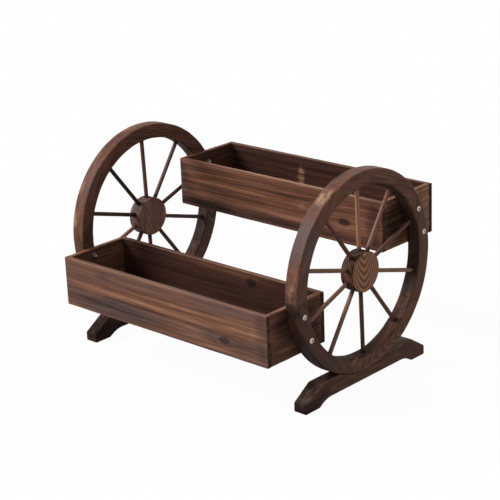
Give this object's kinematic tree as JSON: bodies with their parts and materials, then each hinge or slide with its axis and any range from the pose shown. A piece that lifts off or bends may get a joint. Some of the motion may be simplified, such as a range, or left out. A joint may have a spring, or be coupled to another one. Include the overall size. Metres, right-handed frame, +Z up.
{
  "type": "flower cart stand",
  "caption": "Wooden flower cart stand: spoked cart wheels on feet carry a lower and an upper planter box between them.",
  "frame": {"origin": "on the ground under the middle of the stand, level with the undersides of the feet", "axes": "+X along the planter boxes towards the right wheel, -Y to the front where the lower box is, +Z up"},
  "size_m": [0.7036, 0.579, 0.4949],
  "materials": {
    "rim_wood": "flame-darkened fir, satin",
    "hub_wood": "flame-darkened fir, satin",
    "spoke_wood": "flame-darkened fir dowel, satin",
    "board_wood": "flame-darkened fir board with strong grain, satin",
    "foot_wood": "flame-darkened fir, dark, satin",
    "zinc_steel": "zinc-plated steel"
  },
  "bodies": {
    "root": {"left_wheel_hub": "hub_wood", "left_wheel_felloe_1": "rim_wood", "left_wheel_felloe_2": "rim_wood", "left_wheel_felloe_3": "rim_wood", "left_wheel_felloe_4": "rim_wood", "left_wheel_felloe_5": "rim_wood", "left_wheel_spoke_1": "spoke_wood", "left_wheel_spoke_2": "spoke_wood", "left_wheel_spoke_3": "spoke_wood", "left_wheel_spoke_4": "spoke_wood", "left_wheel_spoke_5": "spoke_wood", "left_wheel_spoke_6": "spoke_wood", "left_wheel_spoke_7": "spoke_wood", "left_wheel_spoke_8": "spoke_wood", "left_wheel_spoke_9": "spoke_wood", "left_wheel_spoke_10": "spoke_wood", "left_foot": "foot_wood", "bolt_left_lower_1": "zinc_steel", "nut_left_lower_1": "zinc_steel", "bolt_left_lower_2": "zinc_steel", "nut_left_lower_2": "zinc_steel", "bolt_left_upper_1": "zinc_steel", "nut_left_upper_1": "zinc_steel", "bolt_left_upper_2": "zinc_steel", "nut_left_upper_2": "zinc_steel", "right_wheel_hub": "hub_wood", "right_wheel_felloe_1": "rim_wood", "right_wheel_felloe_2": "rim_wood", "right_wheel_felloe_3": "rim_wood", "right_wheel_felloe_4": "rim_wood", "right_wheel_felloe_5": "rim_wood", "right_wheel_spoke_1": "spoke_wood", "right_wheel_spoke_2": "spoke_wood", "right_wheel_spoke_3": "spoke_wood", "right_wheel_spoke_4": "spoke_wood", "right_wheel_spoke_5": "spoke_wood", "right_wheel_spoke_6": "spoke_wood", "right_wheel_spoke_7": "spoke_wood", "right_wheel_spoke_8": "spoke_wood", "right_wheel_spoke_9": "spoke_wood", "right_wheel_spoke_10": "spoke_wood", "right_foot": "foot_wood", "bolt_right_lower_1": "zinc_steel", "nut_right_lower_1": "zinc_steel", "bolt_right_lower_2": "zinc_steel", "nut_right_lower_2": "zinc_steel", "bolt_right_upper_1": "zinc_steel", "nut_right_upper_1": "zinc_steel", "bolt_right_upper_2": "zinc_steel", "nut_right_upper_2": "zinc_steel", "lower_box_front_board": "board_wood", "lower_box_back_board": "board_wood", "lower_box_left_end": "board_wood", "lower_box_right_end": "board_wood", "lower_box_floor": "board_wood", "upper_box_front_board": "board_wood", "upper_box_back_board": "board_wood", "upper_box_left_end": "board_wood", "upper_box_right_end": "board_wood", "upper_box_floor": "board_wood"}
  },
  "joints": []
}
